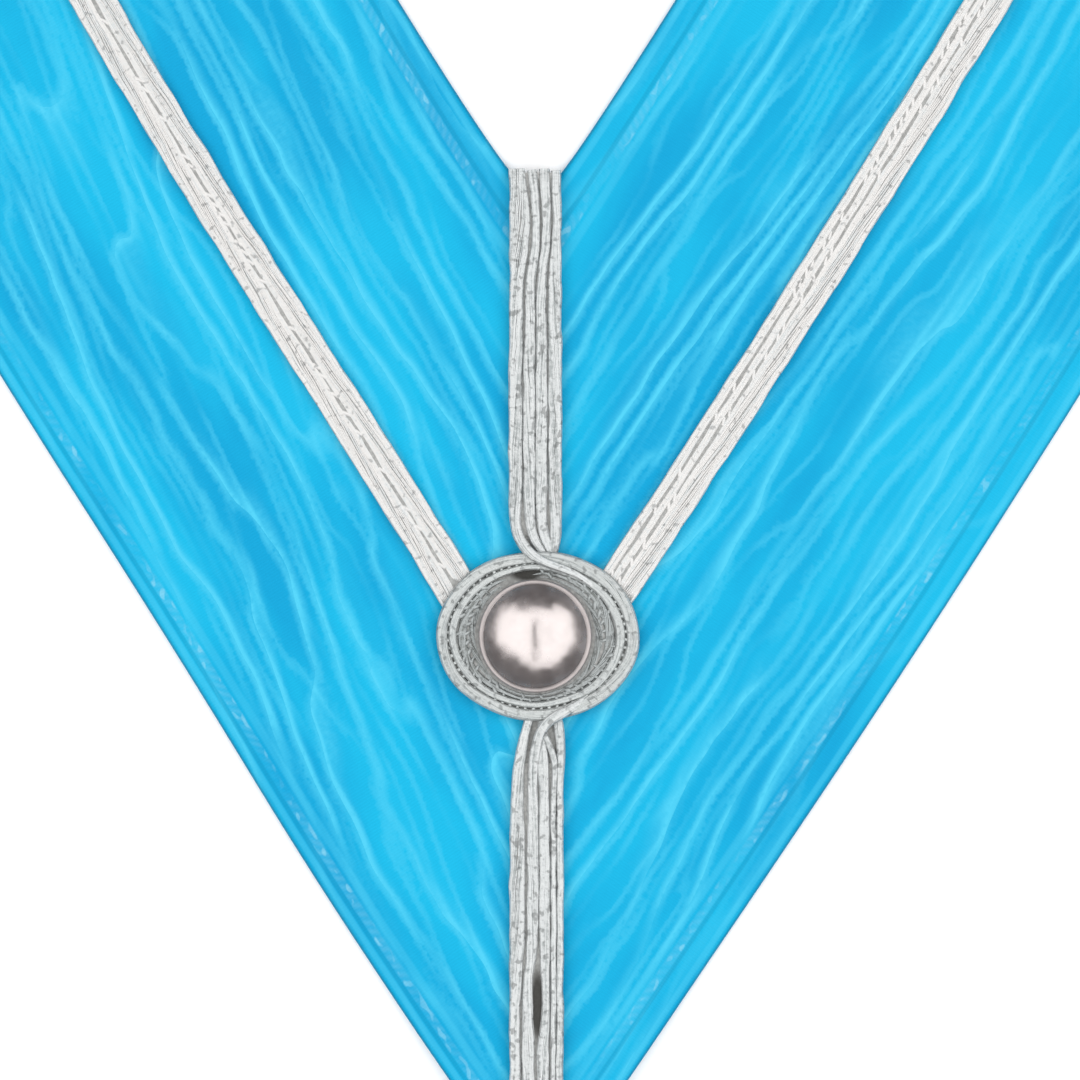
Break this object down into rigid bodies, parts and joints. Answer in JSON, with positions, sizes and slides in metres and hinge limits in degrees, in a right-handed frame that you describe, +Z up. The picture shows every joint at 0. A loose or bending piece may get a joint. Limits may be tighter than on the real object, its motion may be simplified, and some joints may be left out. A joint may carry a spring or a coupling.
{
  "type": "masonic collar",
  "caption": "Closed teardrop collar of wide watered-silk ribbon, lying flat, with silver braid, a braid rosette round a domed button at the front and a jewel hook under its point.",
  "frame": {"origin": "bottom centre of the collar's box as it lies flat on a surface", "axes": "+X to the right in the picture, +Y from the point towards the back of the neck, +Z up from the surface to the side with the braid"},
  "size_m": [0.3532, 0.5206, 0.0107],
  "materials": {
    "moire_ribbon": "satin",
    "silver_braid": "matte",
    "silver_braid_shade": "matte",
    "button_metal": "gloss",
    "hook_metal": "satin"
  },
  "bodies": {
    "root": {"ribbon_left": "moire_ribbon", "ribbon_right": "moire_ribbon", "side_braid_left": "silver_braid", "side_braid_right": "silver_braid", "centre_braid_upper": "silver_braid", "centre_braid_lower": "silver_braid", "rosette_outer_braid": "silver_braid", "rosette_inner_braid": "silver_braid_shade", "button": "button_metal", "jewel_hook": "hook_metal"}
  },
  "joints": []
}
